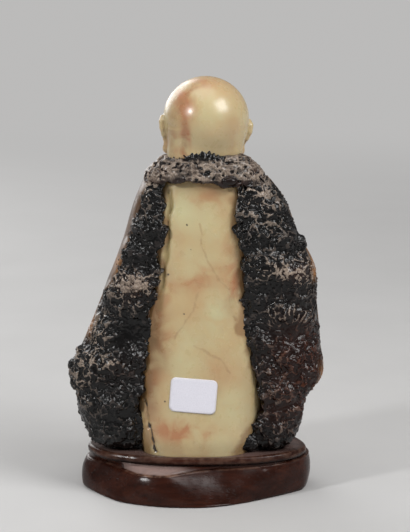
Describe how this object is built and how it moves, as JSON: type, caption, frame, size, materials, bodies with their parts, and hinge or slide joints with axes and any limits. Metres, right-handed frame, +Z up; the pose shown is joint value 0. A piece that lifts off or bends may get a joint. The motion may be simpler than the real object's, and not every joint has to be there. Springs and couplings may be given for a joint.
{
  "type": "carved stone figure on a wooden stand",
  "caption": "Standing robed monk carved in pale stone with dark natural skin left on its back, set in the recess of a dark hardwood stand.",
  "frame": {"origin": "on the stand's flat underside, below the figure's middle", "axes": "+Z up; the figure faces -Y and its plain back panel faces +Y; +X towards the figure's left hand"},
  "size_m": [0.1222, 0.0697, 0.1965],
  "materials": {
    "hardwood": "polished dark red-brown hardwood",
    "pale_stone": "waxed and polished, pale yellow-green with pink and orange clouds",
    "brown_stone": "waxed and polished, dark translucent brown with amber edges",
    "dark_skin": "rough natural skin, brown-black, with glossy high spots and grey dust in the pits",
    "label_paper": "matt white paper"
  },
  "bodies": {
    "stand": {"stand": "hardwood"},
    "figure": {"head": "pale_stone", "robe": "pale_stone", "hand_left": "pale_stone", "hand_right": "pale_stone", "shoe_left": "brown_stone", "shoe_right": "brown_stone", "sleeve_left": "pale_stone", "sleeve_right": "pale_stone", "mantle_left": "brown_stone", "mantle_right": "brown_stone", "crust_left": "dark_skin", "crust_right": "dark_skin", "crust_collar": "dark_skin", "blank_label": "label_paper"}
  },
  "joints": [
    {"name": "figure_lift", "type": "slide", "parent": "stand", "child": "figure", "axis": [0, 0, 1], "range_m": [0, 0.03]}
  ]
}
